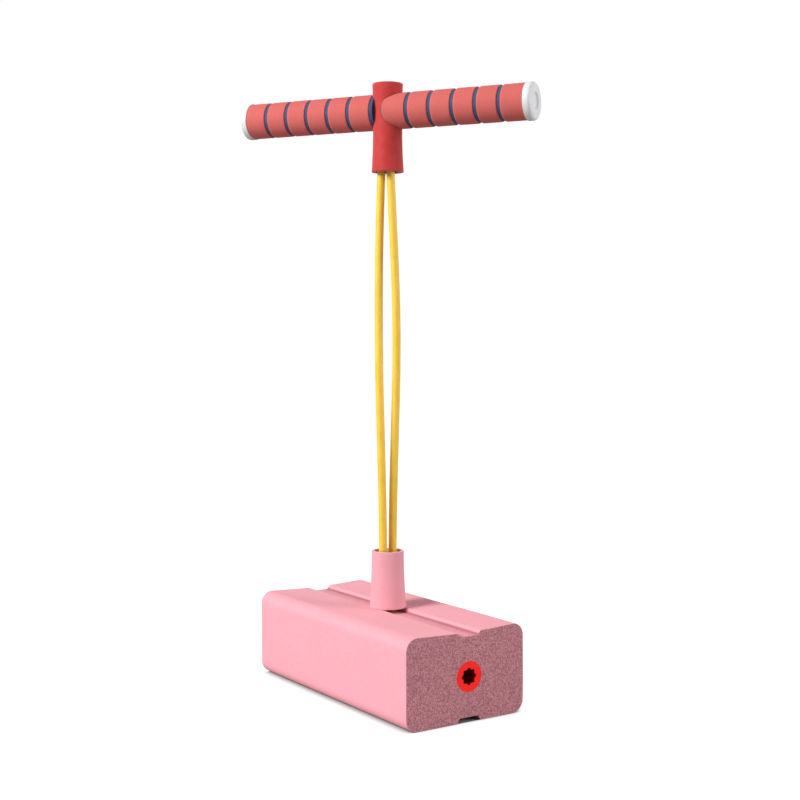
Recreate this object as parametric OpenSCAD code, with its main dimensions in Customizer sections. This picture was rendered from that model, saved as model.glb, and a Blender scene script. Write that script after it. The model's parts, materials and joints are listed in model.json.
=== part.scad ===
// Foam pogo jumper: a foam block to stand on, a loop of elastic cord and a foam-gripped cross handle.
// Millimetres, +Z up. The origin is on the ground, on the stem's axis; +X runs along the block.

/* [Foam block] */
// Length of the block
block_l = 250; // [230:1:270]
// Width of the block
block_w = 124; // [112:1:136]
// Height of the block
block_h = 79; // [74:1:86]
// Radius of the block's four long edges
block_edge_r = 11; // [6:0.5:14]
// Distance from the stem to the middle of the block's width, towards -Y
block_shift = 3; // [0:0.5:6]
// How much lower the middle of the top lies than the block's long edges
top_dish = 1.3; // [0:0.1:2]
// Width of the long grooves at their mouth
groove_w = 24; // [20:1:28]
// Width of the long grooves at their floor
groove_floor_w = 19; // [14:1:19]
// Depth of the groove along the top
groove_depth = 3.7; // [2.5:0.1:5]
// Depth of the groove along the underside
under_groove_depth = 4; // [3:0.5:5]

/* [Anchor tube] */
// Height of the tube's axis above the ground
anchor_z = 39; // [38:0.5:41]
// Outer diameter of the tube that runs through the block
anchor_d = 26.5; // [24:0.5:27]
// Diameter across the points of its star-shaped bore
star_d = 16; // [12:0.5:18]
// Diameter across the notches of its star-shaped bore
star_notch_d = 12.4; // [9:0.2:13]
// Number of points of the star
star_points = 8; // [6:1:10]

/* [Collar] */
// Height of the collar that stands on the block
collar_h = 52.8; // [40:0.2:60]
// Outer diameter of the collar at its top
collar_top_d = 29.6; // [28:0.2:32]
// Outer diameter of the collar at its foot
collar_foot_d = 33.4; // [33:0.2:36]
// Diameter of the collar's bore
collar_bore_d = 24.4; // [21:0.2:25]

/* [Elastic cord] */
// Diameter of the cord
cord_d = 7.6; // [6.4:0.1:7.8]
// Distance between the two strands where they leave the collar
lower_gap = 10.6; // [9:0.1:12]
// Distance between the two strands where they enter the sleeve
upper_gap = 9.3; // [9:0.1:10]
// How much further apart the strands stand where they bow out most
strand_bow = 6.4; // [0:0.1:9]
// Length of the free strands, from collar to sleeve
strand_l = 346.5; // [250:0.5:400]

/* [Handle] */
// Turn of the handle about the stem, from the block's length
handle_turn = 31; // [0:1:60]
// Length of the sleeve that joins the cord to the handle
sleeve_h = 80; // [72:1:90]
// Outer diameter of the sleeve round the handle
sleeve_d = 26.6; // [25:0.2:27]
// Outer diameter of the sleeve at its flared foot
sleeve_foot_d = 29.4; // [27:0.2:31]
// Diameter of the sleeve's bore
sleeve_bore_d = 21.2; // [20.8:0.2:22]
// Height of the handle's axis above the sleeve's foot
handle_rise = 54.5; // [48:0.5:56]
// Outer diameter of the handle's inner tube
handle_tube_d = 20; // [18:0.5:20]
// Bore of the handle's inner tube
handle_tube_bore_d = 16; // [14:0.5:16]

/* [Grips] */
// Outer diameter of the grips
grip_d = 32.4; // [30:0.2:34]
// Thickness of the coral skin over the blue core
grip_skin = 1.4; // [1:0.1:2]
// Distance from the stem to the left grip's innermost coral ring
left_grip_start = 12; // [8:0.5:16]
// Distance from the stem to the left grip's blue core, which reaches further in
left_core_start = 8.5; // [4:0.5:12]
// Distance from the stem to the left grip's outer end
left_grip_end = 140; // [130:1:150]
// Distance from the stem to the right grip's inner end, hollowed to fit the sleeve
right_grip_start = 0; // [0:0.5:8]
// Distance from the stem to the right grip's outer end
right_grip_end = 135; // [125:1:150]
// Number of coral rings on each grip
ring_count = 6; // [4:1:6]
// Length of the left grip's outermost ring
left_outer_ring_l = 19.2; // [17:0.1:21]
// Distance from one groove of the left grip to the next
left_ring_pitch = 21.4; // [20:0.1:22.4]
// Length of the right grip's outermost ring
right_outer_ring_l = 20.6; // [17:0.1:21]
// Distance from one groove of the right grip to the next
right_ring_pitch = 22; // [20:0.1:22.4]
// Width of the grooves between the rings
ring_gap = 3.3; // [1.5:0.1:4]

/* [End caps] */
// Diameter of the caps
cap_d = 33.8; // [32:0.2:36]
// How far a cap stands out of its grip
cap_h = 7; // [5:0.5:8]
// Diameter of the round recess in a cap's face
cap_recess_d = 15; // [10:0.5:18]
// Length of the plug that holds a cap in the tube
cap_plug_l = 14; // [8:1:20]

/* [Squeaker] */
// Diameter of the pocket under the block that holds the squeaker
pocket_d = 30; // [26:0.5:32]
// Distance of the pocket from the stem, along the block
pocket_x = 70; // [40:1:90]
// Distance of the pocket from the stem, across the block towards -Y
pocket_y = 36; // [33:1:40]
// Height of the pocket's roof
pocket_h = 38; // [34:1:42]
// Thickness of the foam plug that closes the pocket
pocket_plug_h = 12; // [8:1:14]

/* [Hidden] */
$fn = 96;

// of each grip: where its rings start and end, its outermost ring's length and the grooves' pitch
left_grip = [left_grip_start, left_grip_end, left_outer_ring_l, left_ring_pitch];
right_grip = [right_grip_start, right_grip_end, right_outer_ring_l, right_ring_pitch];

eps = 0.01;           // overshoot of a cut past the face it opens
cord_clearance = 0.3; // between the cord and what it passes or wraps
cord_r = cord_d / 2;
cord_sides = 12;      // sides of the cord's section
bend_step = 15;       // degrees between rings round a bend of the cord
rise_rings = 10;      // rings on each leg that rises out of the block
strand_rings = 28;    // rings along a free strand
bow_skew = 1.4;       // above 1 puts the widest place above the middle

seat_z = block_h - top_dish; // height of the top's flat middle, where the collar stands
collar_top_z = seat_z + collar_h;
sleeve_z = collar_top_z + strand_l;
sleeve_top_z = sleeve_z + sleeve_h;
handle_z = sleeve_z + handle_rise;
sleeve_roof = 3;

// the cord's lower bend wraps the anchor tube; its upper bend lies over the handle's tube
lower_bend_r = anchor_d / 2 + cord_r + cord_clearance;
upper_bend_r = upper_gap / 2;
upper_bend_z = handle_z + handle_tube_d / 2 + cord_clearance;
gather_z = seat_z - 1; // height by which the rising legs have come together
passage_x = 11.2;       // the block's inner passage for the cord, along X
passage_r = lower_bend_r + cord_r + 2;

joiner_wall = 1.4;
joiner_turn = 36; // degrees of the lower bend that the joiner covers
ring_edge = 0.5;  // chamfer on the rims of the grip's rings

function smooth(t) = t * t * (3 - 2 * t);
function mix(a, b, t) = a + (b - a) * t;

// Lays a drawing of the YZ plane along X, centred
module along_x(length) {
    rotate([90, 0, 90])
        linear_extrude(length, center = true)
            children();
}

// Places what is drawn along +X onto the handle's axis
module on_handle() {
    translate([0, 0, handle_z])
        rotate([0, 0, handle_turn])
            children();
}

module rod_x(d, from, to) {
    translate([from, 0, 0])
        rotate([0, 90, 0])
            cylinder(d = d, h = to - from);
}

// Places what is drawn on the Z axis in the squeaker's pocket, at height z
module in_pocket(z) {
    translate([pocket_x, -pocket_y, z])
        children();
}

// ---- foam block ----

module rounded_rectangle(w, h, r) {
    translate([-w / 2 + r, 0])
        square([w - 2 * r, h]);
    translate([-w / 2, r])
        square([w, h - 2 * r]);
    for (x = [-w / 2 + r, w / 2 - r], y = [r, h - r])
        translate([x, y])
            circle(r);
}

// Section of a groove that opens upwards at height 0
module groove_section(depth) {
    polygon([
        [-groove_w / 2, eps], [-groove_floor_w / 2, -depth],
        [groove_floor_w / 2, -depth], [groove_w / 2, eps]
    ]);
}

// Section of the shallow dish in the top: flat under the collar, rising to the rounded edges
module dish_section() {
    polygon([
        [-block_w / 2 - block_shift + block_edge_r, block_h], [-collar_foot_d / 2, seat_z],
        [collar_foot_d / 2, seat_z], [block_w / 2 - block_shift - block_edge_r, block_h],
        [0, block_h + 1]
    ]);
}

module block_section() {
    difference() {
        translate([-block_shift, 0])
            rounded_rectangle(block_w, block_h, block_edge_r);
        dish_section();
        translate([0, seat_z])
            groove_section(groove_depth);
        mirror([0, 1])
            groove_section(under_groove_depth);
        translate([0, anchor_z])
            circle(d = anchor_d);
    }
}

// Room inside the block for the cord: round the anchor tube, then narrowing up to the collar
module cord_passage() {
    along_x(passage_x) {
        translate([0, anchor_z])
            circle(passage_r);
        polygon([
            [-passage_r, anchor_z], [-passage_r, anchor_z + 12],
            [-collar_bore_d / 2 + 1, block_h], [collar_bore_d / 2 - 1, block_h],
            [passage_r, anchor_z + 12], [passage_r, anchor_z]
        ]);
    }
}

module base_foam() {
    color("lightpink")
        difference() {
            along_x(block_l)
                block_section();
            cord_passage();
            in_pocket(-eps)
                cylinder(d = pocket_d, h = pocket_h + eps);
        }
}

// ---- anchor tube ----

module star() {
    polygon([
        for (i = [0 : 2 * star_points - 1])
            let (r = (i % 2 == 0 ? star_d : star_notch_d) / 2, a = 180 * i / star_points)
            r * [cos(a), sin(a)]
    ]);
}

module anchor_tube() {
    color("red")
        along_x(block_l)
            translate([0, anchor_z])
                difference() {
                    circle(d = anchor_d);
                    star();
                }
}

// ---- collar ----

module base_collar() {
    color("pink")
        translate([0, 0, seat_z])
            difference() {
                cylinder(d1 = collar_foot_d, d2 = collar_top_d, h = collar_h);
                translate([0, 0, -eps])
                    cylinder(d = collar_bore_d, h = collar_h + 2 * eps);
            }
}

// ---- squeaker ----

bulb_r = pocket_d / 2 - 1;
bulb_z = pocket_plug_h + 0.3;
bulb_top_z = pocket_h - 0.5;
bulb_folds = 4;
bulb_neck_r = 5;
reed_h = 6;

// A small bellows with a hollow middle and a neck for the reed
module squeaker_bulb() {
    fold_h = (bulb_top_z - bulb_z) / bulb_folds;
    color("ivory")
        in_pocket(bulb_z)
            difference() {
                for (i = [0 : bulb_folds - 1])
                    translate([0, 0, i * fold_h]) {
                        cylinder(r1 = bulb_r - 3, r2 = bulb_r, h = fold_h / 2);
                        translate([0, 0, fold_h / 2])
                            cylinder(r1 = bulb_r, r2 = bulb_r - 3, h = fold_h / 2);
                    }
                translate([0, 0, reed_h])
                    cylinder(r = bulb_r - 5, h = bulb_top_z - bulb_z - reed_h - 2);
                translate([0, 0, -eps])
                    cylinder(r = bulb_neck_r, h = reed_h + 2 * eps);
            }
}

module squeaker_reed() {
    slot_w = 1.2;
    color("white")
        in_pocket(bulb_z)
            difference() {
                cylinder(r = bulb_neck_r, h = reed_h);
                translate([-slot_w / 2, -bulb_neck_r / 2, -eps])
                    cube([slot_w, bulb_neck_r, reed_h + 2 * eps]);
            }
}

module squeaker_plug() {
    color("lightpink")
        in_pocket(0)
            cylinder(d = pocket_d, h = pocket_plug_h);
}

// ---- elastic cord ----

// A round tube through the given centres; side and turn are the section's two directions at each
module swept_cord(centres, side, turn) {
    n = cord_sides;
    last = len(centres) - 1;
    points = [
        for (i = [0 : last], k = [0 : n - 1])
            centres[i] + cord_r * (cos(360 * k / n) * side[i] + sin(360 * k / n) * turn[i])
    ];
    walls = [
        for (i = [0 : last - 1], k = [0 : n - 1])
            let (next = (k + 1) % n)
            [i * n + k, (i + 1) * n + k, (i + 1) * n + next, i * n + next]
    ];
    ends = [
        [for (k = [0 : n - 1]) k],
        [for (k = [n - 1 : -1 : 0]) last * n + k]
    ];
    polyhedron(points, concat(walls, ends));
}

// A cord that stays in one upright plane, whose normal is side
module flat_cord(centres, side) {
    last = len(centres) - 1;
    along = [
        for (i = [0 : last])
            let (step = centres[min(i + 1, last)] - centres[max(i - 1, 0)])
            step / norm(step)
    ];
    swept_cord(centres, [for (i = [0 : last]) side], [for (i = [0 : last]) cross(along[i], side)]);
}

// Distance of a rising leg from the stem's axis at height z inside the block
function leg_reach(z) =
    mix(lower_bend_r, lower_gap / 2, smooth(min(1, (z - anchor_z) / (gather_z - anchor_z))));

leg_heights = concat([collar_top_z], [
    for (i = [0 : rise_rings - 1]) mix(gather_z, anchor_z, i / rise_rings)
]);
lower_route = concat(
    [for (z = leg_heights) [0, leg_reach(z), z]],
    [
        for (a = [0 : -bend_step : -180])
            [0, lower_bend_r * cos(a), anchor_z + lower_bend_r * sin(a)]
    ],
    [for (i = [len(leg_heights) - 1 : -1 : 0]) [0, -leg_reach(leg_heights[i]), leg_heights[i]]]
);

module lower_loop() {
    color("gold")
        flat_cord(lower_route, [1, 0, 0]);
}

// Section of the joiner at its distance from the anchor tube's axis: a ring with its mouth to the tube
module joiner_section() {
    difference() {
        translate([lower_bend_r, 0])
            difference() {
                circle(cord_r + cord_clearance + joiner_wall);
                circle(cord_r + cord_clearance);
            }
        translate([0, -lower_bend_r])
            square([anchor_d / 2 + cord_clearance, 2 * lower_bend_r]);
    }
}

// Clip that grips the two ends of the cord where they meet under the anchor tube
module cord_joiner() {
    color("dimgray")
        translate([0, 0, anchor_z])
            rotate([90, 0, 90])
                rotate([0, 0, -90 - joiner_turn / 2])
                    rotate_extrude(angle = joiner_turn)
                        joiner_section();
}

// Half the distance between the strands, a share t of the way up
function strand_reach(t) =
    (mix(lower_gap, upper_gap, t) + strand_bow * sin(180 * pow(t, bow_skew))) / 2;

// Direction from the near strand to the far one, a share t of the way up
function strand_turn(t) = mix(90, handle_turn, smooth(t));

module strand(which) {
    shares = [for (i = [0 : strand_rings]) i / strand_rings];
    swept_cord(
        [
            for (t = shares)
                let (a = strand_turn(t), r = which * strand_reach(t))
                [r * cos(a), r * sin(a), collar_top_z + strand_l * t]
        ],
        [for (t = shares) [sin(strand_turn(t)), -cos(strand_turn(t)), 0]],
        [for (t = shares) [cos(strand_turn(t)), sin(strand_turn(t)), 0]]
    );
}

module near_strand() {
    color("goldenrod")
        strand(-1);
}

module far_strand() {
    color("gold")
        strand(1);
}

upper_route = concat(
    [[-upper_bend_r, 0, sleeve_z]],
    [
        for (a = [180 : -bend_step : 0])
            [upper_bend_r * cos(a), 0, upper_bend_z + upper_bend_r * sin(a)]
    ],
    [[upper_bend_r, 0, sleeve_z]]
);

module upper_loop() {
    color("gold")
        rotate([0, 0, handle_turn])
            flat_cord(upper_route, [0, 1, 0]);
}

// ---- handle ----

sleeve_waist_z = 36; // height of the waist, above the sleeve's foot
sleeve_edge = 1.5;   // rounding of the sleeve's top rim
flare_steps = 8;

// Right half of the sleeve's outer shape, from its foot to its rounded top
sleeve_outline = concat(
    [
        for (i = [0 : flare_steps])
            let (t = i / flare_steps)
            [mix(sleeve_foot_d, sleeve_d, 1 - pow(1 - t, 2)) / 2, sleeve_waist_z * t]
    ],
    [
        for (a = [0 : 15 : 90])
            [sleeve_d / 2 - sleeve_edge * (1 - cos(a)), sleeve_h - sleeve_edge * (1 - sin(a))]
    ],
    [[0, sleeve_h], [0, 0]]
);

module handle_sleeve() {
    color("orangered")
        difference() {
            translate([0, 0, sleeve_z])
                rotate_extrude()
                    polygon(sleeve_outline);
            translate([0, 0, sleeve_z - eps])
                cylinder(d = sleeve_bore_d, h = sleeve_h - sleeve_roof + eps);
            on_handle()
                rod_x(handle_tube_d, -sleeve_d, sleeve_d);
        }
}

module handle_tube() {
    color("gray")
        on_handle()
            difference() {
                rod_x(handle_tube_d, -left_grip[1], right_grip[1]);
                rod_x(handle_tube_bore_d, -left_grip[1] - eps, right_grip[1] + eps);
                for (x = [-1, 1])
                    translate([x * upper_bend_r, 0, -handle_tube_d])
                        cylinder(r = cord_r + cord_clearance, h = 2 * handle_tube_d);
            }
}

core_d = grip_d - 2 * grip_skin;

// Cuts the sleeve's place out of what lies on the handle
module beside_sleeve() {
    difference() {
        on_handle()
            children();
        translate([0, 0, sleeve_z])
            cylinder(d = sleeve_d, h = 2 * sleeve_h);
    }
}

module grip_core(from, to) {
    color("steelblue")
        beside_sleeve()
            difference() {
                rod_x(core_d, from, to);
                rod_x(handle_tube_d, from - eps, to + eps);
            }
}

// One coral ring, with its rims eased
module grip_ring(from, to) {
    rotate([0, 90, 0])
        rotate_extrude()
            polygon([
                [core_d / 2, from], [grip_d / 2 - ring_edge, from], [grip_d / 2, from + ring_edge],
                [grip_d / 2, to - ring_edge], [grip_d / 2 - ring_edge, to], [core_d / 2, to]
            ]);
}

// The rings are spaced from the outer end, and the innermost one takes what is left
module grip_rings(grip) {
    outer_l = grip[2];
    pitch = grip[3];
    first_groove = grip[1] - outer_l - ring_gap;
    color("salmon")
        beside_sleeve() {
            grip_ring(grip[1] - outer_l, grip[1]);
            for (i = [0 : ring_count - 3])
                grip_ring(first_groove - (i + 1) * pitch + ring_gap, first_groove - i * pitch);
            grip_ring(grip[0], first_groove - (ring_count - 2) * pitch);
        }
}

// The left grip is drawn on the right and turned round
module on_left() {
    rotate([0, 0, 180])
        children();
}

module left_grip_core() {
    on_left()
        grip_core(left_core_start, left_grip_end);
}

module right_grip_core() {
    grip_core(right_grip_start, right_grip_end);
}

module left_grip_rings() {
    on_left()
        grip_rings(left_grip);
}

module right_grip_rings() {
    grip_rings(right_grip);
}

// ---- end caps ----

cap_round = 3;      // rounding of the cap's outer rim
cap_recess = 1.6;   // depth of the recess in its face

// The outline of a cap whose flange stands at height 0: plug below, rounded and recessed face above
cap_outline = concat(
    [
        [0, -cap_plug_l], [handle_tube_bore_d / 2, -cap_plug_l],
        [handle_tube_bore_d / 2, 0], [cap_d / 2, 0]
    ],
    [
        for (a = [0 : 15 : 90])
            [cap_d / 2 - cap_round * (1 - cos(a)), cap_h - cap_round * (1 - sin(a))]
    ],
    [
        [cap_recess_d / 2, cap_h],
        [cap_recess_d / 2 - cap_recess / 2, cap_h - cap_recess],
        [0, cap_h - cap_recess]
    ]
);

module end_cap(grip) {
    color("whitesmoke")
        on_handle()
            translate([grip[1], 0, 0])
                rotate([0, 90, 0])
                    rotate_extrude()
                        polygon(cap_outline);
}

module left_end_cap() {
    on_left()
        end_cap(left_grip);
}

module right_end_cap() {
    end_cap(right_grip);
}

base_foam();
anchor_tube();
base_collar();
squeaker_bulb();
squeaker_reed();
squeaker_plug();
lower_loop();
cord_joiner();
near_strand();
far_strand();
upper_loop();
handle_sleeve();
handle_tube();
left_grip_core();
right_grip_core();
left_grip_rings();
right_grip_rings();
left_end_cap();
right_end_cap();
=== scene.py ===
"""Looks of the foam pogo jumper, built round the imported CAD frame.

Metres, +Z up, +X along the foam block, and the stem on the Z axis. Every place comes from the frame's boxes
and from the few sizes named below. Angles are in radians, apart from those whose name says degrees.
"""
import json
import math

import bmesh
import bpy
from mathutils import Matrix, Vector, noise


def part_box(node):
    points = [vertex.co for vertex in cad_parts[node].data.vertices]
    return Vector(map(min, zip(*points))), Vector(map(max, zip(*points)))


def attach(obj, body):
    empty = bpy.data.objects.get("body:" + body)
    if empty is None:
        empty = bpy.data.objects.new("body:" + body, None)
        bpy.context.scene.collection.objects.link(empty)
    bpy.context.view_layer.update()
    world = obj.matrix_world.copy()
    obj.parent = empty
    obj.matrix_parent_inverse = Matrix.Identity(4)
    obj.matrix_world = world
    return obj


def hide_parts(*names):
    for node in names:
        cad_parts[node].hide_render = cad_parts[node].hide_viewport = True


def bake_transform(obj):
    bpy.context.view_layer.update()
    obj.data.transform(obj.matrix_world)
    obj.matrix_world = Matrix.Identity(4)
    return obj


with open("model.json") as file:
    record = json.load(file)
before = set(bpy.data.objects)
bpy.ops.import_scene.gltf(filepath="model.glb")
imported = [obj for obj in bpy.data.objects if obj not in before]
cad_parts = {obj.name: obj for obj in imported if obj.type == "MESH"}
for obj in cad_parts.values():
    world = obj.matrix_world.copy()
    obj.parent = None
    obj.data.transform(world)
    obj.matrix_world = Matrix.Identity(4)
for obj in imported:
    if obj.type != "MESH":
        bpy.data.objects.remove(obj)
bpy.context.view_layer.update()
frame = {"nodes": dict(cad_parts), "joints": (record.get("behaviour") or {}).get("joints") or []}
MM = 0.001


# ---- camera ----

CAMERA_LENS = 61.05            # focal length, on a sensor 36 wide
CAMERA_AIM = Vector((0.0063, 0.0093, 0.2694))
CAMERA_AZIMUTH_DEGREES = 55.94  # from the -Y side towards +X
CAMERA_PITCH_DEGREES = 2.83    # looking down
CAMERA_DISTANCE = 1.246


def direction(azimuth_degrees, elevation_degrees):
    """Unit vector towards an azimuth, measured from -Y towards +X, and an elevation."""
    azimuth = math.radians(azimuth_degrees)
    elevation = math.radians(elevation_degrees)
    return Vector((
        math.sin(azimuth) * math.cos(elevation),
        -math.cos(azimuth) * math.cos(elevation),
        math.sin(elevation),
    ))


def link(obj):
    bpy.context.scene.collection.objects.link(obj)
    return obj


def add_camera():
    data = bpy.data.cameras.new("camera")
    data.sensor_width = 36
    data.lens = CAMERA_LENS
    data.clip_start = 0.01
    data.clip_end = 100
    camera = link(bpy.data.objects.new("camera", data))
    back = direction(CAMERA_AZIMUTH_DEGREES, CAMERA_PITCH_DEGREES)
    camera.location = CAMERA_AIM + CAMERA_DISTANCE * back
    camera.rotation_euler = (-back).to_track_quat("-Z", "Y").to_euler()
    bpy.context.scene.camera = camera


add_camera()


# ---- sizes: from the frame, and those that its boxes don't give ----

block_low, block_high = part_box("base_foam")
tube_low, tube_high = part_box("anchor_tube")
collar_low, collar_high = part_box("base_collar")
sleeve_low, sleeve_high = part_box("handle_sleeve")
plug_low, plug_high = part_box("squeaker_plug")
loop_low, loop_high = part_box("lower_loop")
handle_low, handle_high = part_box("handle_tube")
grip_low, grip_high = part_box("right_grip_rings")
cap_low, cap_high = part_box("right_end_cap")

twist = next(j for j in frame["joints"] if j["name"] == "handle_twist")
lean_fore_aft = next(j for j in frame["joints"] if j["name"] == "lean_fore_aft")
lean_sideways = next(j for j in frame["joints"] if j["name"] == "lean_sideways")

# the block
BLOCK_EDGE_R = 11 * MM
GROOVE_MOUTH = 24 * MM
GROOVE_FLOOR = 19 * MM
GROOVE_DEPTH = 3.7 * MM
GROOVE_EASE = 1.8 * MM       # rounding of the grooves' corners
UNDER_GROOVE_DEPTH = 4 * MM
DISH_EASE = 40 * MM          # rounding where the dished top starts to rise
POCKET_H = 38 * MM           # depth of the squeaker's pocket
seat_z = collar_low.z
anchor_z = (tube_low.z + tube_high.z) / 2
anchor_r = (tube_high.z - tube_low.z) / 2
STAR_R = 8 * MM
STAR_NOTCH_R = 6.2 * MM
STAR_EASE = 0.9 * MM         # rounding of the star's lobes
STAR_NOTCH_EASE = 0.8 * MM   # and of the notches between them
STAR_POINTS = 8

# the collar
collar_foot_r = (collar_high.x - collar_low.x) / 2
COLLAR_TOP_R = 14.8 * MM
COLLAR_BORE_R = 12.2 * MM

# the cord; gaps are between the middles of the two strands
cord_r = (loop_high.x - loop_low.x) / 2
LOWER_GAP = 10.6 * MM
UPPER_GAP = 9.3 * MM
STRAND_BOW = 6.4 * MM
BOW_SKEW = 1.4
TOP_SHIFT = Vector((-0.9, -1.3, 0)) * MM   # the strands hang to this side of the sleeve's bore
strand_foot_z = collar_high.z
strand_top_z = sleeve_low.z
GATHER_Z = seat_z - 1 * MM   # the legs inside the block have come together at this height
BEND_SHIFT = 3 * MM          # the first lean's bend ends this far below the middle of the two leans
TWIST_START_Z = 400 * MM     # the strands wind round each other above this height
RING_STEP = 2.5 * MM         # between two rings of points along a strand
CORD_CLEARANCE = 0.3 * MM
PASSAGE_X = 11.2 * MM        # width of the cord's passage through the block

# the handle stands straight along the block at the middle of its twist
handle_turn = -math.radians(sum(twist["range_deg"]) / 2)
handle_z = (handle_low.z + handle_high.z) / 2
handle_tube_r = (handle_high.z - handle_low.z) / 2
HANDLE_BORE_R = 8 * MM
grip_r = (grip_high.z - grip_low.z) / 2
RING_SKIN = 0.9 * MM
core_r = grip_r - RING_SKIN
cap_r = (cap_high.z - cap_low.z) / 2
# of each grip: start and end of its rings, from the stem, its outermost ring's length, its grooves' pitch
LEFT_GRIP = (12 * MM, 140 * MM, 19.2 * MM, 21.4 * MM)
RIGHT_GRIP = (0, 135 * MM, 20.6 * MM, 22 * MM)
LEFT_CORE_START = 8.5 * MM
GRIP_LIP = 1 * MM                  # the right grip's innermost ring starts here at the sleeve's sides
RING_COUNT = 6
RING_GAP = 3.3 * MM
RING_EASE = 0.9 * MM               # rounding of the coral rings' rims
CORE_EASE = 0.3 * MM

# the sleeve
sleeve_foot_r = (sleeve_high.x - sleeve_low.x) / 2
SLEEVE_R = 13.3 * MM
SLEEVE_TOP_R = 13.9 * MM
SLEEVE_BORE_R = 10.6 * MM
SLEEVE_PRESS = 1.6 * MM            # how far the right grip is let into the sleeve's wall
SLEEVE_WAIST = 36 * MM             # height of the waist above the sleeve's foot
SLEEVE_ROOF = 3 * MM


# ---- outlines and meshes ----

def smooth(t):
    return t * t * (3 - 2 * t)


def mix(a, b, t):
    return a + (b - a) * t


def arc(centre, radius, from_degrees, to_degrees, steps):
    """Points of an arc, as pairs."""
    angles = [math.radians(mix(from_degrees, to_degrees, i / steps)) for i in range(steps + 1)]
    return [(centre[0] + radius * math.cos(a), centre[1] + radius * math.sin(a)) for a in angles]


def eased(corners, step_degrees=12):
    """The closed outline through (x, y, radius) corners, each rounded to its radius by an arc."""
    points = []
    for i, (x, y, radius) in enumerate(corners):
        corner = Vector((x, y))
        back = (Vector(corners[i - 1][:2]) - corner).normalized()
        on = (Vector(corners[(i + 1) % len(corners)][:2]) - corner).normalized()
        opening = back.angle(on)
        if radius == 0 or math.pi - opening < 1e-4:
            points.append(corner)
            continue
        centre = corner + (back + on).normalized() * (radius / math.sin(opening / 2))
        spoke = corner + back * (radius / math.tan(opening / 2)) - centre
        turn = math.copysign(math.pi - opening, back.x * on.y - back.y * on.x) * -1
        steps = max(2, math.ceil(abs(math.degrees(turn)) / step_degrees))
        for k in range(steps + 1):
            points.append(centre + Matrix.Rotation(turn * k / steps, 2) @ spoke)
    return points


def divided(outline, longest):
    """The closed outline with its long sides divided, so that no side is longer than that."""
    points = []
    for i, start in enumerate(outline):
        side = outline[(i + 1) % len(outline)] - start
        count = max(1, math.ceil(side.length / longest))
        points += [start + side * (k / count) for k in range(count)]
    return points


def skin(name, loops, materials, wrap=True, slots=None, sharp_degrees=40):
    """A surface through loops of equally many points. It joins its last loop to the first, or else its
    two ends are filled. slots gives the material's number for each band between two loops."""
    mesh = bpy.data.meshes.new(name)
    count = len(loops[0])
    vertices = [tuple(p) for loop in loops for p in loop]
    bands = len(loops) if wrap else len(loops) - 1
    faces = []
    numbers = []
    for i in range(bands):
        after = (i + 1) % len(loops)
        for k in range(count):
            side = (k + 1) % count
            faces.append((i * count + k, i * count + side, after * count + side, after * count + k))
            numbers.append(slots[i] if slots else 0)
    if not wrap:
        faces.append(tuple(reversed(range(count))))
        faces.append(tuple(range((len(loops) - 1) * count, len(loops) * count)))
        numbers += [slots[0] if slots else 0, slots[-1] if slots else 0]
    mesh.from_pydata(vertices, [], faces)
    for face, number in zip(mesh.polygons, numbers):
        face.material_index = number
    solid = bmesh.new()
    solid.from_mesh(mesh)
    bmesh.ops.remove_doubles(solid, verts=solid.verts, dist=1e-7)
    on_axis = [edge for edge in solid.edges if not edge.link_faces]
    bmesh.ops.delete(solid, geom=on_axis, context="EDGES")
    bmesh.ops.recalc_face_normals(solid, faces=solid.faces)
    solid.to_mesh(mesh)
    solid.free()
    for material in materials:
        mesh.materials.append(material)
    mesh.shade_smooth()
    mesh.set_sharp_from_angle(angle=math.radians(sharp_degrees))
    return link(bpy.data.objects.new(name, mesh))


def revolved(name, outline, materials, place=Matrix.Identity(4), sides=96, **options):
    """A solid whose closed outline of (radius, height) turns about its axis."""
    loops = []
    for i in range(sides):
        angle = 2 * math.pi * i / sides
        around = Vector((math.cos(angle), math.sin(angle), 0))
        loops.append([place @ (around * r + Vector((0, 0, z))) for r, z in outline])
    return skin(name, loops, materials, **options)


def roughened(obj, waves):
    """Moves the surface in and out by smooth noise, given as (size, depth) of each wave."""
    outwards = [vertex.normal.copy() for vertex in obj.data.vertices]
    for vertex, normal in zip(obj.data.vertices, outwards):
        vertex.co += normal * sum(depth * noise.noise(vertex.co / size) for size, depth in waves)
    obj.data.update()
    return obj


def cut(obj, *cutters):
    """Takes the cutters' shapes out of obj, and removes them."""
    for cutter in cutters:
        modifier = obj.modifiers.new("cut", "BOOLEAN")
        modifier.operation = "DIFFERENCE"
        modifier.solver = "EXACT"
        modifier.object = cutter
    evaluated = obj.evaluated_get(bpy.context.evaluated_depsgraph_get())
    whole = bpy.data.meshes.new_from_object(evaluated)
    obj.modifiers.clear()
    old = obj.data
    obj.data = whole
    bpy.data.meshes.remove(old)
    for cutter in cutters:
        bpy.data.objects.remove(cutter)
    return obj


# ---- materials ----

def linear(code):
    """Scene-linear colour of an RRGGBB code."""
    values = [int(code[i:i + 2], 16) / 255 for i in (0, 2, 4)]
    return tuple(v / 12.92 if v <= 0.04045 else ((v + 0.055) / 1.055) ** 2.4 for v in values) + (1,)


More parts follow.
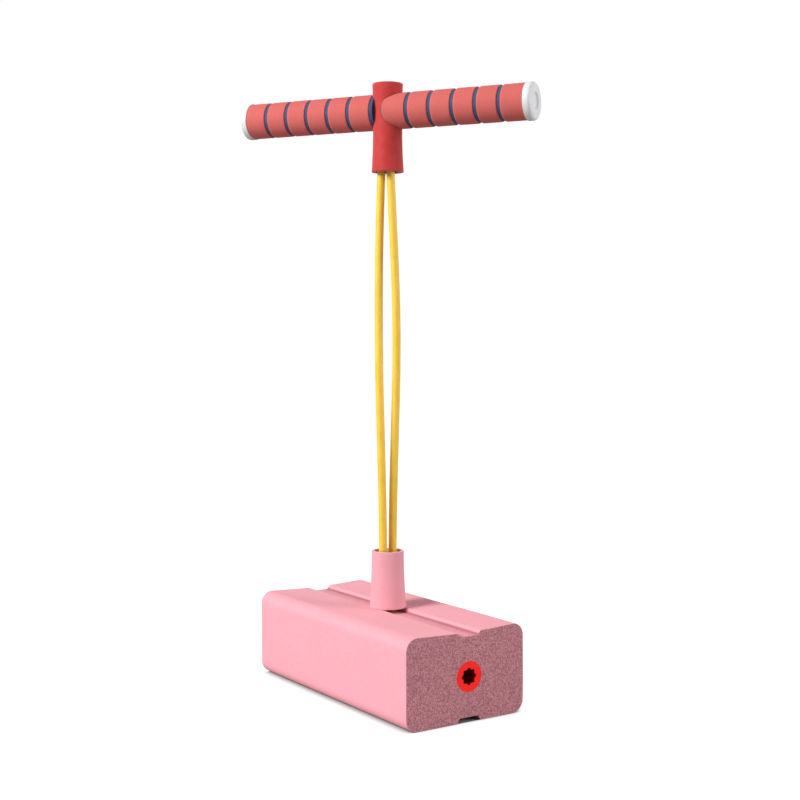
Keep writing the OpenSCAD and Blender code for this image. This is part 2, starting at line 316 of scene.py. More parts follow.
class Paint:
    """Builds one procedural material: wiring helpers round its Principled shader."""

    def __init__(self, name, rest_attribute=None, **constants):
        self.material = bpy.data.materials.new(name)
        self.material.use_nodes = True
        self.tree = self.material.node_tree
        self.shader = self.tree.nodes["Principled BSDF"]
        for socket, value in constants.items():
            self.shader.inputs[socket.replace("_", " ")].default_value = value
        if rest_attribute:
            source = self.node("ShaderNodeAttribute", attribute_name=rest_attribute)
            self.place = source.outputs["Vector"]
        else:
            self.place = self.node("ShaderNodeTexCoord").outputs["Object"]
        self.height = None

    def node(self, kind, **settings):
        made = self.tree.nodes.new(kind)
        for name, value in settings.items():
            setattr(made, name, value)
        return made

    def wire(self, source, target):
        self.tree.links.new(source, target)

    def stretched(self, scale):
        """The place, with each direction scaled, for grain that runs one way."""
        mapping = self.node("ShaderNodeMapping")
        mapping.inputs["Scale"].default_value = scale
        self.wire(self.place, mapping.inputs["Vector"])
        return mapping.outputs["Vector"]

    def noise(self, size, detail=2, place=None):
        """Cloudy noise whose blotches are about that big, from 0 to 1."""
        made = self.node("ShaderNodeTexNoise")
        made.inputs["Scale"].default_value = 1 / size
        made.inputs["Detail"].default_value = detail
        self.wire(place or self.place, made.inputs["Vector"])
        return made.outputs["Fac"]

    def cells(self, size, output="Distance"):
        made = self.node("ShaderNodeTexVoronoi")
        made.inputs["Scale"].default_value = 1 / size
        self.wire(self.place, made.inputs["Vector"])
        return made.outputs[output]

    def math(self, operation, first, second=None):
        """One sum on a value and a second value or number."""
        made = self.node("ShaderNodeMath", operation=operation)
        self.wire(first, made.inputs[0])
        if isinstance(second, float):
            made.inputs[1].default_value = second
        elif second is not None:
            self.wire(second, made.inputs[1])
        return made.outputs["Value"]

    def ramp(self, factor, *stops):
        """Colours along a factor, as (position, RRGGBB) or (position, number) stops."""
        made = self.node("ShaderNodeValToRGB")
        elements = made.color_ramp.elements
        while len(elements) < len(stops):
            elements.new(0.5)
        for element, (position, value) in zip(elements, stops):
            element.position = position
            element.color = linear(value) if isinstance(value, str) else (value, value, value, 1)
        self.wire(factor, made.inputs["Fac"])
        return made.outputs["Color"]

    def blended(self, kind, amount, first, second):
        """Two colours mixed, multiplied and so on."""
        made = self.node("ShaderNodeMix", data_type="RGBA", blend_type=kind)
        if isinstance(amount, float):
            made.inputs["Factor"].default_value = amount
        else:
            self.wire(amount, made.inputs["Factor"])
        self.wire(first, made.inputs["A"])
        self.wire(second, made.inputs["B"])
        return made.outputs["Result"]

    def bump(self, height, depth):
        """Adds relief that is that deep where the height goes from 0 to 1."""
        made = self.node("ShaderNodeBump")
        made.inputs["Strength"].default_value = 1
        made.inputs["Distance"].default_value = depth
        self.wire(height, made.inputs["Height"])
        if self.height is not None:
            self.wire(self.height, made.inputs["Normal"])
        self.height = made.outputs["Normal"]

    def done(self, colour, roughness=None):
        self.wire(colour, self.shader.inputs["Base Color"])
        if roughness is not None:
            self.wire(roughness, self.shader.inputs["Roughness"])
        if self.height is not None:
            self.wire(self.height, self.shader.inputs["Normal"])
        return self.material


def foam_skin(name, dark, light, grain=1.4 * MM, relief=0.05 * MM, gloss=0.3, sheen=0.05, painted_light=None):
    """Moulded closed-cell foam: a fine mottled grain with a slightly uneven tone."""
    paint = Paint(name, Specular_IOR_Level=gloss, Sheen_Weight=sheen, Sheen_Roughness=0.6)
    mottle = paint.ramp(paint.noise(grain, 3), (0.3, dark), (0.7, light))
    tone = paint.ramp(paint.noise(30 * MM, 2), (0.3, 0.96), (0.7, 1.0))
    colour = paint.blended("MULTIPLY", 1.0, mottle, tone)
    # the caller's painted shade and highlights are multiplied into the colour
    if painted_light:
        colour = paint.blended("MULTIPLY", 1.0, colour, painted_light(paint))
    paint.bump(paint.noise(grain * 0.6, 2), relief)
    paint.bump(paint.cells(grain * 1.5), relief)
    roughness = paint.ramp(paint.noise(4 * MM, 2), (0.2, 0.62), (0.8, 0.8))
    return paint.done(colour, roughness)


def groove_painted_shade(paint):
    """Painted shade in the grooves: darkens them towards their floors, and most along the floors' edges, at
    the foot of the walls.
    """
    split = paint.node("ShaderNodeSeparateXYZ")
    paint.wire(paint.place, split.inputs["Vector"])
    beside = paint.math("ABSOLUTE", split.outputs["Y"])
    across = paint.math("DIVIDE", beside, GROOVE_FLOOR / 2)
    painted_shade = paint.ramp(across, (0.2, "F0E7E9"), (0.75, "DDCFD2"), (0.98, "BFA9AE"))
    outside = paint.math("GREATER_THAN", beside, GROOVE_MOUTH / 2)
    height = paint.node("ShaderNodeMapRange")
    height.inputs["From Min"].default_value = seat_z - GROOVE_DEPTH
    height.inputs["From Max"].default_value = seat_z - GROOVE_DEPTH * 0.55
    paint.wire(split.outputs["Z"], height.inputs["Value"])
    unshaded = paint.math("MAXIMUM", height.outputs["Result"], outside)
    return paint.blended("LIGHTEN", 1.0, painted_shade, unshaded)


def rim_painted_highlight(paint):
    """Painted highlight on a grip ring's rims: they stay at the ring's full colour while its middle is
    darkened a little.
    """
    rim = paint.node("ShaderNodeAttribute", attribute_name="rim")
    return paint.ramp(rim.outputs["Fac"], (0.2, "E6E6E6"), (1, "FFFFFF"))


CUT_CELL = 1.0 * MM


def cut_foam():
    """Foam where it was cut: open cells, each catching the light its own way."""
    paint = Paint("pink_foam_cut", Specular_IOR_Level=0.2)
    cell = paint.ramp(paint.cells(CUT_CELL, "Color"), (0.15, "BA757F"), (0.85, "EEA6AF"))
    fine = paint.ramp(paint.noise(0.7 * MM, 2), (0.35, 0.8), (0.65, 1.0))
    paint.bump(paint.cells(CUT_CELL), 0.3 * MM)
    paint.bump(paint.noise(0.6 * MM, 2), 0.12 * MM)
    roughness = paint.ramp(paint.noise(3 * MM, 2), (0.2, 0.85), (0.8, 0.95))
    return paint.done(paint.blended("MULTIPLY", 1.0, cell, fine), roughness)


def moulded(name, dark, light, rough=(0.35, 0.5), **constants):
    """Moulded plastic or rubber: nearly even colour, with a faint orange-peel surface."""
    paint = Paint(name, **constants)
    colour = paint.ramp(paint.noise(9 * MM, 3), (0.3, dark), (0.7, light))
    paint.bump(paint.noise(1.6 * MM, 2), 0.02 * MM)
    paint.bump(paint.noise(0.35 * MM, 1), 0.006 * MM)
    roughness = paint.ramp(paint.noise(5 * MM, 4), (0.25, rough[0]), (0.75, rough[1]))
    return paint.done(colour, roughness)


def elastic():
    """Yellow elastic tube: satin rubber with faint lines along it from the die it was drawn through."""
    paint = Paint("yellow_elastic", rest_attribute="rest", Specular_IOR_Level=0.45,
                  Sheen_Weight=0.3, Sheen_Roughness=0.4, Sheen_Tint=linear("FFE890"),
                  Subsurface_Weight=0.5, Subsurface_Scale=4 * MM, Subsurface_Radius=(1, 0.8, 0.4))
    lines = paint.noise(0.5 * MM, 2, paint.stretched((1, 1, 0.02)))
    patches = paint.noise(7 * MM, 2, paint.stretched((1, 1, 0.4)))
    colour = paint.ramp(patches, (0.3, "FBCB40"), (0.7, "FFD652"))
    shade = paint.ramp(lines, (0.3, 0.95), (0.7, 1.0))
    paint.bump(lines, 0.03 * MM)
    roughness = paint.ramp(paint.noise(3 * MM, 3), (0.25, 0.38), (0.75, 0.52))
    return paint.done(paint.blended("MULTIPLY", 1.0, colour, shade), roughness)


# the skin's grooves get painted shade, darker towards their floors
pink_foam = foam_skin("pink_foam_skin", "F9A5B1", "FFB2BD", painted_light=groove_painted_shade)
pink_cut = cut_foam()
collar_foam = foam_skin("pink_collar_foam", "EAA0AB", "F2A9B4", grain=0.9 * MM, relief=0.015 * MM,
                        sheen=0.3)
# the rings' rims get a painted highlight
coral_foam = foam_skin("coral_grip_foam", "E36D67", "F17872", grain=0.9 * MM, relief=0.03 * MM, gloss=0.15,
                       painted_light=rim_painted_highlight)
blue_foam = foam_skin("blue_grip_foam", "30456A", "3E5578", grain=0.8 * MM, relief=0.05 * MM)
# painted glow: a faint red emission makes the tube give back a little more red than falls on it
red_tube = moulded("red_tube_plastic", "FA140C", "FF1C12", Specular_IOR_Level=0.3,
                   Emission_Color=linear("FF1208"), Emission_Strength=0.2)
# painted shade: the bore is a darker copy of the tube's red plastic
red_bore_painted_shade = moulded("red_bore_plastic", "8A0606", "980808", Specular_IOR_Level=0.2)
red_sleeve = moulded("red_sleeve_rubber", "BE302E", "C83A38", rough=(0.55, 0.7), Specular_IOR_Level=0.2,
                     Sheen_Weight=0.3, Sheen_Roughness=0.5)
yellow = elastic()
white_plastic = moulded("white_cap_plastic", "E2E2E4", "EAEAEB", rough=(0.3, 0.45))
blue_plastic = moulded("blue_tube_plastic", "40587A", "4C6488")
dark_plastic = moulded("dark_joiner_plastic", "4A4A4E", "58585C")
ivory_rubber = moulded("ivory_bulb_rubber", "E8DFC8", "F0E8D4", rough=(0.5, 0.65))
clear_white = moulded("white_reed_plastic", "E4E4E4", "F2F2F2", rough=(0.2, 0.3))


def give(node, material):
    """A CAD node keeps its shape and gets a better material."""
    data = frame["nodes"][node].data
    data.materials.clear()
    data.materials.append(material)


def fit_out(piece, body, slot, *nodes):
    """The piece rides on its body and stands for its CAD nodes, which it hides. The slot is not used."""
    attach(piece, body)
    if nodes:
        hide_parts(*nodes)
    return piece


# ---- foam block ----

def block_outline():
    """The block's section in Y and Z: dished top and a groove above and below."""
    left = block_low.y
    right = block_high.y
    top = block_high.z
    mouth = GROOVE_MOUTH / 2
    floor = GROOVE_FLOOR / 2
    rise_left = (top - seat_z) / (-left - BLOCK_EDGE_R - collar_foot_r)
    rise_right = (top - seat_z) / (right - BLOCK_EDGE_R - collar_foot_r)
    corners = [
        (left, 0, BLOCK_EDGE_R),
        (-mouth, 0, GROOVE_EASE), (-floor, UNDER_GROOVE_DEPTH, GROOVE_EASE),
        (floor, UNDER_GROOVE_DEPTH, GROOVE_EASE), (mouth, 0, GROOVE_EASE),
        (right, 0, BLOCK_EDGE_R),
        (right, seat_z + rise_right * (right - collar_foot_r), BLOCK_EDGE_R),
        (collar_foot_r, seat_z, DISH_EASE),
        (mouth, seat_z, GROOVE_EASE), (floor, seat_z - GROOVE_DEPTH, GROOVE_EASE),
        (-floor, seat_z - GROOVE_DEPTH, GROOVE_EASE), (-mouth, seat_z, GROOVE_EASE),
        (-collar_foot_r, seat_z, DISH_EASE),
        (left, seat_z + rise_left * (-left - collar_foot_r), BLOCK_EDGE_R),
    ]
    longest = 2.5 * MM
    return divided(eased(corners, 9), longest)


def inset(outline, distance):
    """The outline moved inwards along its normals."""
    points = []
    for i, point in enumerate(outline):
        along = (outline[(i + 1) % len(outline)] - outline[i - 1]).normalized()
        points.append(point + Vector((-along.y, along.x)) * distance)
    return points


def block_mesh():
    outline = block_outline()
    centre = Vector((0, anchor_z))
    ring = [centre + (p - centre).normalized() * anchor_r for p in outline]
    arris = 0.5 * MM
    arris_steps = 3
    stations = 60
    face_steps = 16
    half = block_high.x
    turns = [math.pi / 2 * i / arris_steps for i in range(arris_steps + 1)]
    end = []
    for turn in turns:
        x = half - arris * (1 - math.sin(turn))
        end.append((x, inset(outline, arris * (1 - math.cos(turn)))))
    face_outline = end[-1][1]
    for k in range(1, face_steps + 1):
        t = k / face_steps
        end.append((half, [p + (q - p) * t for p, q in zip(face_outline, ring)]))
    start = [(-x, points) for x, points in reversed(end)]
    middle = [
        (mix(-half + arris, half - arris, k / stations), outline) for k in range(1, stations)
    ]
    sections = start + middle + end
    loops = [[Vector((x, p.x, p.y)) for p in points] for x, points in sections]
    cut_end = [1] * face_steps
    bore = [1]   # the last band, which closes the skin through the anchor tube's hole
    slots = cut_end + [0] * (len(sections) - 2 * face_steps - 1) + cut_end + bore
    block = skin("foam_block", loops, [pink_foam, pink_cut], slots=slots)
    return roughened(block, [(60 * MM, 0.25 * MM), (14 * MM, 0.06 * MM)])


def prism(name, outline, x_from, x_to):
    loops = [[Vector((x, y, z)) for y, z in outline] for x in (x_from, x_to)]
    return skin(name, loops, [pink_cut], wrap=False)


def make_block():
    block = block_mesh()
    leg_r = anchor_r + cord_r + CORD_CLEARANCE   # the cord's distance from the tube's middle
    room_r = leg_r + cord_r + 2 * MM
    neck = COLLAR_BORE_R - 1 * MM
    shoulder_z = anchor_z + 12 * MM
    half = PASSAGE_X / 2
    room = arc((0, anchor_z), room_r, -180, 0, 32)
    room += [(room_r, shoulder_z), (neck, block_high.z), (-neck, block_high.z), (-room_r, shoulder_z)]
    passage = prism("passage", room, -half, half)
    pocket_r = (plug_high.x - plug_low.x) / 2
    pocket_middle = (plug_low + plug_high) / 2
    pocket_place = Matrix.Translation((pocket_middle.x, pocket_middle.y, 0))
    below = -1 * MM
    pocket_outline = [(0, below), (pocket_r, below), (pocket_r, POCKET_H), (0, POCKET_H)]
    pocket = revolved("pocket", pocket_outline, [pink_cut], pocket_place)
    cut(block, passage, pocket)
    block.data.set_sharp_from_angle(angle=math.radians(40))
    fit_out(block, "base", "pink_foam", "base_foam")

    gap = 0.1 * MM
    plug_r = pocket_r - gap
    plug_edge = 0.5 * MM
    plug_outline = eased([
        (0, 0, 0), (plug_r, 0, plug_edge), (plug_r, plug_high.z, plug_edge), (0, plug_high.z, 0),
    ])
    plug = revolved("squeaker_foam_plug", plug_outline, [pink_cut], pocket_place)
    roughened(plug, [(3 * MM, 0.05 * MM)])
    fit_out(plug, "base", "pink_foam", "squeaker_plug")
    give("squeaker_bulb", ivory_rubber)
    give("squeaker_reed", clear_white)


make_block()


# ---- anchor tube ----

def make_anchor_tube():
    """The red tube with its star-shaped bore, lobes and notches rounded, rims lightly broken."""
    corners = []
    for i in range(2 * STAR_POINTS):
        angle = math.pi * i / STAR_POINTS
        radius, ease = (STAR_R, STAR_EASE) if i % 2 == 0 else (STAR_NOTCH_R, STAR_NOTCH_EASE)
        corners.append((radius * math.cos(angle), radius * math.sin(angle), ease))
    star = divided(eased(corners), 0.8 * MM)
    rim = [p.normalized() * anchor_r for p in star]
    half = block_high.x
    broken = 0.25 * MM
    sections = [
        (half - broken, star, 1), (half, star, 1 + broken / STAR_R),
        (half, rim, 1 - broken / anchor_r), (half - broken, rim, 1),
    ]
    sections += [(-x, points, share) for x, points, share in reversed(sections)]
    loops = []
    for x, points, share in sections:
        loops.append([Vector((x, p.x * share, anchor_z + p.y * share)) for p in points])
    # the bore takes the darker red, as painted shade
    slots = [0] * (len(loops) - 1) + [1]   # the last band is the bore
    tube = skin("red_anchor_tube", loops, [red_tube, red_bore_painted_shade], slots=slots, sharp_degrees=30)
    fit_out(tube, "base", "red_tube", "anchor_tube")


make_anchor_tube()


# ---- collar ----

def make_collar():
    """Foam collar: a tapered tube that flares a little more at its foot."""
    steps = 24
    ease = 0.6 * MM
    height = collar_high.z - collar_low.z
    outer = []
    for i in range(steps + 1):
        t = i / steps
        radius = mix(collar_foot_r, COLLAR_TOP_R, 1 - (1 - t) ** 1.6)
        outer.append((radius, collar_low.z + ease + (height - 2 * ease) * t))
    outline = [(COLLAR_BORE_R + ease, collar_low.z), (collar_foot_r - ease, collar_low.z)]
    outline += outer
    outline += arc((COLLAR_TOP_R - ease, collar_high.z - ease), ease, 15, 90, 5)
    outline += arc((COLLAR_BORE_R + ease, collar_high.z - ease), ease, 90, 180, 6)
    for i in range(1, steps + 1):
        outline.append((COLLAR_BORE_R, mix(collar_high.z - ease, collar_low.z + ease, i / steps)))
    collar = revolved("foam_collar", outline, [collar_foam])
    roughened(collar, [(20 * MM, 0.1 * MM)])
    fit_out(collar, "base", "pink_collar", "base_collar")


make_collar()


# ---- elastic cord ----

def remember_rest(obj):
    """Keeps each point's place at rest, which the cord's material reads when the cord bends."""
    rest = obj.data.attributes.new("rest", "FLOAT_VECTOR", "POINT")
    for place, vertex in zip(rest.data, obj.data.vertices):
        place.vector = vertex.co


def cord_tube(name, centres, side=None, sides=24):
    """A round tube through the centres. Its rings lie flat, or else hold the side direction."""
    loops = []
    for i, centre in enumerate(centres):
        if side is None:
            first, second = Vector((1, 0, 0)), Vector((0, 1, 0))
        else:
            along = (centres[min(i + 1, len(centres) - 1)] - centres[max(i - 1, 0)]).normalized()
            first, second = side, along.cross(side)
        loops.append([
            centre + cord_r * (math.cos(a) * first + math.sin(a) * second)
            for a in (2 * math.pi * k / sides for k in range(sides))
        ])
    tube = skin(name, loops, [yellow], wrap=False, sharp_degrees=60)
    remember_rest(tube)
    return tube


def strand_centre(which, z):
    """Middle of a free strand at a height: -1 is the near strand, 1 the far one."""
    t = (z - strand_foot_z) / (strand_top_z - strand_foot_z)
    reach = (mix(LOWER_GAP, UPPER_GAP, t) + STRAND_BOW * math.sin(math.pi * t ** BOW_SKEW)) / 2
    turn = mix(math.pi / 2, handle_turn, smooth(t))
    around = Vector((which * reach * math.cos(turn), which * reach * math.sin(turn), z))
    return around + TOP_SHIFT * smooth(max(0, 2 * t - 1))


def make_strands():
    """Each free strand is four lengths of one tube, and each length lies across one joint."""
    fore_aft_z = lean_fore_aft["pos_m"][2]
    sideways_z = lean_sideways["pos_m"][2]
    first_end = (fore_aft_z + sideways_z) / 2 - BEND_SHIFT
    second_end = 2 * sideways_z - first_end
    parts = [
        ("foot", "base", "lower_stem", strand_foot_z, first_end),
        ("bend", "lower_stem", "upper_stem", first_end, second_end),
        ("stretch", "upper_stem", "cord_top", second_end, TWIST_START_Z),
        ("twist", "cord_top", "handle", TWIST_START_Z, strand_top_z),
    ]
    for which, strand in ((-1, "near"), (1, "far")):
        for part, below, above, low, high in parts:
            count = math.ceil((high - low) / RING_STEP)
            centres = [strand_centre(which, mix(low, high, i / count)) for i in range(count + 1)]
            piece = cord_tube(f"{strand}_strand_{part}", centres)
            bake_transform(piece)
            if part == "stretch":
                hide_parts(strand + "_strand")


def leg_reach(z):
    """Distance from the stem's axis of the cord's rising legs inside the block."""
    bend_r = anchor_r + cord_r + CORD_CLEARANCE
    return mix(bend_r, LOWER_GAP / 2, smooth(min(1, (z - anchor_z) / (GATHER_Z - anchor_z))))


def make_loops():
    """The cord's hidden lengths: round the anchor tube, and over the handle's tube in the sleeve."""
    bend_r = anchor_r + cord_r + CORD_CLEARANCE
    heights = [mix(strand_foot_z, anchor_z, i / 40) for i in range(41)]
    down = [Vector((0, leg_reach(z), z)) for z in heights]
    under = [
        Vector((0, y, z)) for y, z in arc((0, anchor_z), bend_r, 0, -180, 40)[1:-1]
    ]
    up = [Vector((0, -leg_reach(z), z)) for z in reversed(heights)]
    lower = cord_tube("cord_round_anchor", down + under + up, side=Vector((1, 0, 0)))
    fit_out(lower, "base", "yellow_cord", "lower_loop")
    give("cord_joiner", dark_plastic)

    top_r = UPPER_GAP / 2
    top_z = handle_z + handle_tube_r + CORD_CLEARANCE
    turned = Matrix.Rotation(handle_turn, 4, "Z")
    over = [(-top_r, mix(strand_top_z, top_z, i / 20)) for i in range(20)]
    over += arc((0, top_z), top_r, 180, 0, 16)
    over += [(top_r, mix(top_z, strand_top_z, i / 20)) for i in range(1, 21)]
    across = turned @ Vector((0, 1, 0))
    centred_z = handle_z - handle_tube_r - 4 * MM
    centres = []
    for x, z in over:
        shifted = smooth(max(0, (centred_z - z) / (centred_z - strand_top_z)))
        centres.append(turned @ Vector((x, 0, z)) + TOP_SHIFT * shifted)
    upper = cord_tube("cord_over_handle", centres, side=across)
    fit_out(upper, "handle", "yellow_cord", "upper_loop")


make_strands()
make_loops()


# ---- handle ----

along_handle = (
    Matrix.Translation((0, 0, handle_z))
    @ Matrix.Rotation(handle_turn, 4, "Z")
    @ Matrix.Rotation(math.pi / 2, 4, "Y")
)
along_handle_left = Matrix.Rotation(math.pi, 4, "Z") @ along_handle


def beside_sleeve(start):
    """Where a piece on the handle begins that keeps clear of the sleeve."""
    def begin(radius, angle):
        wall = math.sqrt(max(0, SLEEVE_R ** 2 - (radius * math.sin(angle)) ** 2))
        return max(start, wall)
    return begin


def pressed_on_sleeve(lip):
    """Where a piece begins that is pressed on the sleeve: its rim runs out to a soft lip at the sides."""
    wall_r = SLEEVE_R - SLEEVE_PRESS

    def begin(radius, angle):
        wall = math.sqrt(max(0, wall_r ** 2 - (radius * math.sin(angle)) ** 2))
        return max(wall, mix(lip, SLEEVE_R, abs(math.cos(angle)) ** 3.5))
    return begin


def grip_band(name, place, begin, end, inner_r, outer_r, ease, material, sides=180):
    """A foam ring on the handle. begin gives where its inner end starts, at a radius and an angle from
    the top."""
    turns = [math.pi / 2 * i / 4 for i in range(5)]
    middle_r = mix(inner_r, outer_r, 0.5)
    loops = []
    for k in range(sides):
        angle = 2 * math.pi * k / sides
        edge = begin(outer_r, angle)
        loop = [(inner_r, begin(inner_r, angle)), (middle_r, begin(middle_r, angle))]
        loop += [(outer_r - ease * (1 - math.sin(t)), edge + ease * (1 - math.cos(t))) for t in turns]
        count = 9
        loop += [(outer_r, mix(edge + ease, end - ease, i / count)) for i in range(1, count)]
        loop += [(outer_r - ease * (1 - math.cos(t)), end - ease * (1 - math.sin(t))) for t in turns]
        loop += [(middle_r, end), (inner_r, end)]
        # local Z runs along the handle and local X is down, so the angle is taken from the top
        loops.append([
            place @ Vector((-r * math.cos(angle), r * math.sin(angle), x)) for r, x in loop
        ])
    return skin(name, loops, [material])


def make_sleeve():
    """The red sleeve: flared foot, waist and top, let in where the right grip is pressed on it."""
    foot = sleeve_low.z
    top = sleeve_high.z
    ease = 0.5 * MM
    rim = 1.0 * MM
    crown = 0.15 * MM
    steps = 20
    waist_z = foot + SLEEVE_WAIST
    neck_z = top - rim - crown
    outline = [(SLEEVE_BORE_R + ease, foot), (sleeve_foot_r - ease, foot)]
    outline += arc((sleeve_foot_r - ease, foot + ease), ease, -75, 0, 5)
    for i in range(1, steps + 1):
        t = i / steps
        outline.append((mix(sleeve_foot_r, SLEEVE_R, 1 - (1 - t) ** 2), mix(foot, waist_z, t)))
    for i in range(1, steps):
        t = i / steps
        outline.append((mix(SLEEVE_R, SLEEVE_TOP_R, t ** 3), mix(waist_z, neck_z, t)))
    outline += arc((SLEEVE_TOP_R - rim, neck_z), rim, 0, 80, 8)
    outline += [((SLEEVE_TOP_R - rim) * s, top - crown * s * s) for s in (0.85, 0.6, 0.3, 0)]
    roof = top - SLEEVE_ROOF
    corner = 1 * MM
    outline += [(0, roof), (SLEEVE_BORE_R - corner, roof), (SLEEVE_BORE_R, roof - corner)]
    outline += [(SLEEVE_BORE_R, mix(roof, foot, i / 6)) for i in range(1, 6)]
    outline += [(SLEEVE_BORE_R, foot + ease)]
    sleeve = revolved("red_handle_sleeve", outline, [red_sleeve])
    roughened(sleeve, [(25 * MM, 0.06 * MM)])

    reach = 2 * SLEEVE_R
    hole = revolved("hole", [(0, -reach), (handle_tube_r, -reach), (handle_tube_r, reach), (0, reach)],
                    [red_sleeve], along_handle)
    over = 0.5 * MM   # the cutters overlap each other and the hole by this much
    seat = grip_band("seat", along_handle, pressed_on_sleeve(0), reach, handle_tube_r - over, core_r,
                     CORE_EASE, red_sleeve)
    lip_seat = grip_band("lip_seat", along_handle, pressed_on_sleeve(GRIP_LIP), reach, core_r - over,
                         grip_r + over, CORE_EASE, red_sleeve)
    cut(sleeve, hole, seat, lip_seat)
    sleeve.data.set_sharp_from_angle(angle=math.radians(40))
    fit_out(sleeve, "handle", "red_sleeve", "handle_sleeve")


def remember_rims(ring, place, start, end):
    """Keeps how near each point of a ring is to one of its rims, which the foam's material reads."""
    reach = 1.6 * MM
    rims = ring.data.attributes.new("rim", "FLOAT", "POINT")
    back = place.inverted()
    for value, vertex in zip(rims.data, ring.data.vertices):
        along = (back @ vertex.co).z
        value.value = max(0, 1 - min(abs(along - start), abs(along - end)) / reach)


def ring_spans(grip):
    """Start and end of each coral ring. They are spaced from the outer end, and the innermost takes what
    is left."""
    start, end, outer_ring, pitch = grip
    first_groove = end - outer_ring - RING_GAP
    spans = [(end - outer_ring, end)]
    for i in range(RING_COUNT - 2):
        spans.append((first_groove - (i + 1) * pitch + RING_GAP, first_groove - i * pitch))
    return spans + [(start, first_groove - (RING_COUNT - 2) * pitch)]


def make_grip(side, place, grip, rings_begin, core_begin):
    """Coral rings on a blue core."""
    spans = ring_spans(grip)
    for i, (start, end) in enumerate(spans):
        begin = rings_begin if i == len(spans) - 1 else beside_sleeve(start)
        ring = grip_band(f"{side}_grip_ring_{i + 1}", place, begin, end, core_r, grip_r, RING_EASE,
                         coral_foam)
        remember_rims(ring, place, start, end)
        roughened(ring, [(12 * MM, 0.08 * MM)])
        fit_out(ring, "handle", "coral_foam")
        if i == 0:
            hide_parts(f"{side}_grip_rings")
    core = grip_band(f"{side}_grip_foam_core", place, core_begin, grip[1], handle_tube_r, core_r, CORE_EASE,
                     blue_foam)
    fit_out(core, "handle", "blue_foam", f"{side}_grip_core")


def make_cap(side, place, end):
    """Push-in cap: plug, flange with a rounded rim, and a face with a round recess."""
    face = end + 7 * MM
    rim = 3 * MM
    recess_r = 7.5 * MM
    recess_wall = 1.2 * MM      # the recess narrows by this much down to its floor
    recess_floor = face - 1.6 * MM
    dimple = 0.1 * MM           # the recess's floor is this much lower at its middle
    dimple_r = 3 * MM           # and half as much at this radius
    lip = 0.5 * MM
    foot_r = 0.6 * MM
    back_edge = 0.4 * MM
    plug_end = end - 14 * MM
    plug_chamfer = 1 * MM
    outline = [
        (0, plug_end), (HANDLE_BORE_R - plug_chamfer, plug_end),
        (HANDLE_BORE_R, plug_end + plug_chamfer), (HANDLE_BORE_R, end),
        (cap_r - back_edge, end), (cap_r, end + back_edge),
    ]
    outline += arc((cap_r - rim, face - rim), rim, 0, 90, 10)
    outline += arc((recess_r + lip, face - lip), lip, 90, 150, 4)
    outline += arc((recess_r - recess_wall, recess_floor + foot_r), foot_r, -30, -90, 4)
    outline += [(dimple_r, recess_floor - dimple / 2), (0, recess_floor - dimple)]
    cap = revolved(f"{side}_white_cap", outline, [white_plastic], place)
    fit_out(cap, "handle", "white_cap", f"{side}_end_cap")


make_sleeve()
make_grip("left", along_handle_left, LEFT_GRIP,
          beside_sleeve(LEFT_GRIP[0]), beside_sleeve(LEFT_CORE_START))
make_grip("right", along_handle, RIGHT_GRIP,
          pressed_on_sleeve(GRIP_LIP), pressed_on_sleeve(RIGHT_GRIP[0]))
make_cap("left", along_handle_left, LEFT_GRIP[1])
make_cap("right", along_handle, RIGHT_GRIP[1])
give("handle_tube", blue_plastic)


# ---- studio ----

FLOOR_SHADE_EDGE = 2 * MM      # width of the dark patch's soft edge, inside the block's outline
FLOOR_SHADE_REACH = 14 * MM    # how far from the block its shade on the floor can reach
FLOOR_GREY = 0.4               # how much of the light that falls on it the floor gives back
FLOOR_GLOW = 0.92              # added for the eye only, so that the floor is white
FLOOR_HALF = 12                # half the floor's side, in metres
WALL_SEEN = 1.02               # brightness of the white walls as the eye sees them
WALL_LIGHT = 0.22              # and the light they throw on matte surfaces


def under_block(tree):
    """0 on the floor under the block, where no light comes, and 1 around it."""
    place = tree.nodes.new("ShaderNodeTexCoord")
    split = tree.nodes.new("ShaderNodeSeparateXYZ")
    tree.links.new(place.outputs["Object"], split.inputs["Vector"])

    def calculated(operation, first, second=0):
        node = tree.nodes.new("ShaderNodeMath")
        node.operation = operation
        for socket, source in zip(node.inputs, (first, second)):
            if isinstance(source, (int, float)):
                socket.default_value = source
            else:
                tree.links.new(source, socket)
        return node.outputs["Value"]

    middle = (block_low + block_high) / 2
    half = (block_high - block_low) / 2
    along = calculated("ABSOLUTE", calculated("SUBTRACT", split.outputs["X"], middle.x))
    across = calculated("ABSOLUTE", calculated("SUBTRACT", split.outputs["Y"], middle.y))
    beyond_end = calculated("SUBTRACT", along, half.x)
    beyond_side = calculated("SUBTRACT", across, half.y - BLOCK_EDGE_R)
    outside = calculated("MAXIMUM", beyond_end, beyond_side)
    lit = calculated("DIVIDE", outside, FLOOR_SHADE_EDGE)
    return calculated("MINIMUM", calculated("MAXIMUM", calculated("ADD", lit, 1), 0), 1)


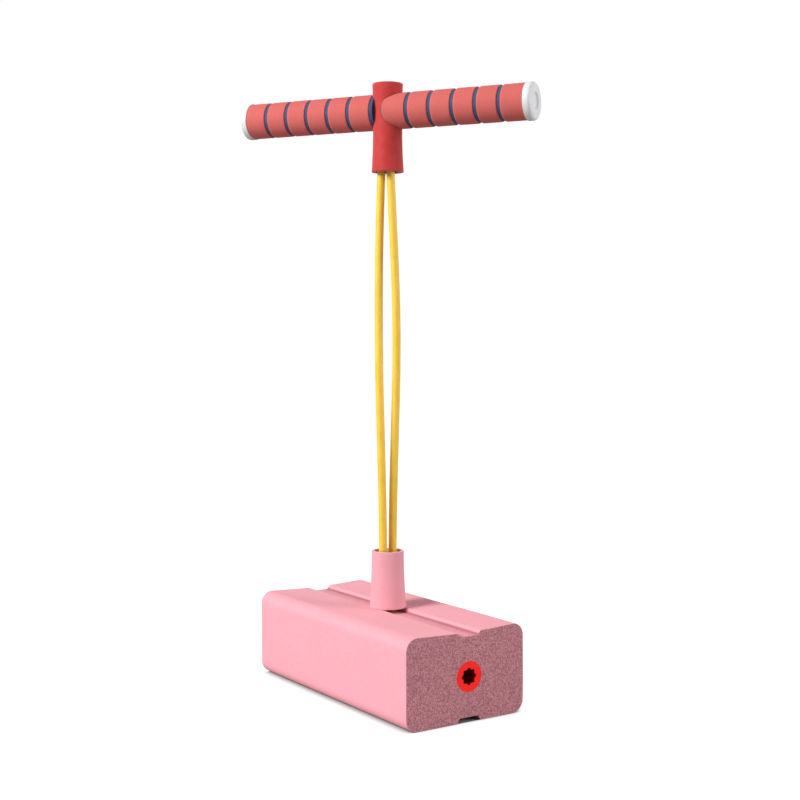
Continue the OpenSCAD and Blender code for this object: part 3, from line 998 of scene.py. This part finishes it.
def add_floor():
    """A pale matte floor, white to the eye apart from the thin shade where the block rests on it."""
    material = bpy.data.materials.new("studio_floor")
    material.use_nodes = True
    tree = material.node_tree
    shader = tree.nodes["Principled BSDF"]
    shader.inputs["Base Color"].default_value = (FLOOR_GREY, FLOOR_GREY, FLOOR_GREY, 1)
    shader.inputs["Roughness"].default_value = 0.9
    shader.inputs["Specular IOR Level"].default_value = 0
    nearby = tree.nodes.new("ShaderNodeAmbientOcclusion")
    nearby.inputs["Distance"].default_value = FLOOR_SHADE_REACH
    shade = tree.nodes.new("ShaderNodeValToRGB")
    shade.color_ramp.elements[0].position = 0.1
    shade.color_ramp.elements[1].position = 0.8
    glow = tree.nodes.new("ShaderNodeEmission")
    glow.inputs["Strength"].default_value = FLOOR_GLOW
    none = tree.nodes.new("ShaderNodeEmission")
    none.inputs["Strength"].default_value = 0
    path = tree.nodes.new("ShaderNodeLightPath")
    choose = tree.nodes.new("ShaderNodeMixShader")
    add = tree.nodes.new("ShaderNodeAddShader")
    hidden = tree.nodes.new("ShaderNodeMath")
    hidden.operation = "MULTIPLY"
    tree.links.new(nearby.outputs["AO"], hidden.inputs[0])
    tree.links.new(under_block(tree), hidden.inputs[1])
    tree.links.new(hidden.outputs["Value"], shade.inputs["Fac"])
    tree.links.new(shade.outputs["Color"], glow.inputs["Color"])
    tree.links.new(path.outputs["Is Camera Ray"], choose.inputs["Fac"])
    tree.links.new(none.outputs["Emission"], choose.inputs[1])
    tree.links.new(glow.outputs["Emission"], choose.inputs[2])
    tree.links.new(shader.outputs["BSDF"], add.inputs[0])
    tree.links.new(choose.outputs["Shader"], add.inputs[1])
    tree.links.new(add.outputs["Shader"], tree.nodes["Material Output"].inputs["Surface"])
    mesh = bpy.data.meshes.new("floor")
    below = -0.3 * MM
    corners = [
        (x * FLOOR_HALF, y * FLOOR_HALF, below) for x, y in ((-1, -1), (1, -1), (1, 1), (-1, 1))
    ]
    mesh.from_pydata(corners, [], [(0, 1, 2, 3)])
    mesh.materials.append(material)
    link(bpy.data.objects.new("floor", mesh))


def add_area(name, azimuth, elevation, distance, size, power):
    """A soft square light that faces the object's middle."""
    data = bpy.data.lights.new(name, "AREA")
    data.shape = "SQUARE"
    data.size = size
    data.energy = power
    light = link(bpy.data.objects.new(name, data))
    middle = Vector((0, 0, 0.28))
    towards = direction(azimuth, elevation)
    light.location = middle + towards * distance
    light.rotation_euler = (-towards).to_track_quat("-Z", "Y").to_euler()


def add_world():
    """White studio walls, which light the object less than they would as a backdrop."""
    world = bpy.data.worlds.new("studio")
    bpy.context.scene.world = world
    world.use_nodes = True
    tree = world.node_tree
    seen = tree.nodes["Background"]
    seen.inputs["Color"].default_value = (1, 1, 1, 1)
    seen.inputs["Strength"].default_value = WALL_SEEN
    lighting = tree.nodes.new("ShaderNodeBackground")
    lighting.inputs["Color"].default_value = (1, 1, 1, 1)
    lighting.inputs["Strength"].default_value = WALL_LIGHT
    path = tree.nodes.new("ShaderNodeLightPath")
    choose = tree.nodes.new("ShaderNodeMixShader")
    tree.links.new(path.outputs["Is Diffuse Ray"], choose.inputs["Fac"])
    tree.links.new(seen.outputs["Background"], choose.inputs[1])
    tree.links.new(lighting.outputs["Background"], choose.inputs[2])
    tree.links.new(choose.outputs["Shader"], tree.nodes["World Output"].inputs["Surface"])


add_floor()
add_area("key", azimuth=-3, elevation=31, distance=3, size=1.2, power=101)
add_area("fill", azimuth=132, elevation=12, distance=3, size=1.6, power=47)
add_world()
bpy.context.scene.view_settings.view_transform = "Standard"
